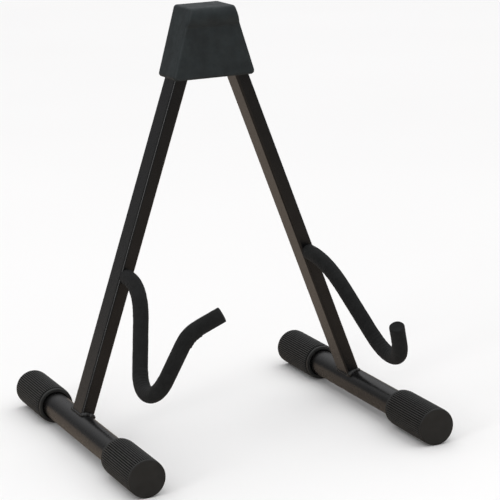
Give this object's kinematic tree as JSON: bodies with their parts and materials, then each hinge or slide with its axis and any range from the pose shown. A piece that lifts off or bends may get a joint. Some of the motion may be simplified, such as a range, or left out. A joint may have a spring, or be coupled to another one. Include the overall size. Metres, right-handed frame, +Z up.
{
  "type": "folding instrument stand",
  "caption": "Black folding A-frame floor stand: tube legs hinged in a moulded head, round feet with ribbed rubber caps and bent cradle arms in foam.",
  "frame": {"origin": "on the floor, in the middle of the overall box in X and Y", "axes": "+Z up, -Y the front where the cradle arms reach out, +X to the right seen from the front"},
  "size_m": [0.3146, 0.3216, 0.393],
  "materials": {
    "cover_plastic": "fine moulded texture",
    "frame_paint": "satin black powder coat",
    "foot_paint": "semi-gloss black powder coat",
    "cap_rubber": "moulded rubber, ribbed",
    "arm_foam": "closed-cell foam",
    "bare_steel": "zinc plated",
    "black_screw": "black oxide",
    "washer_nylon": "natural nylon"
  },
  "bodies": {
    "head": {"head_cover": "cover_plastic", "hinge_bracket": "frame_paint", "cover_screws": "black_screw", "pivot_washers": "washer_nylon", "left_pivot_rivet": "bare_steel", "right_pivot_rivet": "bare_steel"},
    "left_side": {"left_pivot_bush": "bare_steel", "left_leg": "frame_paint", "left_foot_tube": "foot_paint", "left_foot_weld": "foot_paint", "left_front_cap": "cap_rubber", "left_rear_cap": "cap_rubber", "left_arm_rod": "frame_paint", "left_arm_weld": "frame_paint", "left_arm_sleeve": "arm_foam"},
    "right_side": {"right_pivot_bush": "bare_steel", "right_leg": "frame_paint", "right_foot_tube": "foot_paint", "right_foot_weld": "foot_paint", "right_front_cap": "cap_rubber", "right_rear_cap": "cap_rubber", "right_arm_rod": "frame_paint", "right_arm_weld": "frame_paint", "right_arm_sleeve": "arm_foam"}
  },
  "joints": [
    {"name": "left_leg_fold", "type": "hinge", "parent": "head", "child": "left_side", "pos_m": [-0.013, 0.02597, 0.376], "axis": [0, -1, 0], "range_deg": [0, 18.7]},
    {"name": "right_leg_fold", "type": "hinge", "parent": "head", "child": "right_side", "pos_m": [0.013, 0.02597, 0.376], "axis": [0, 1, 0], "range_deg": [0, 18.7]}
  ]
}
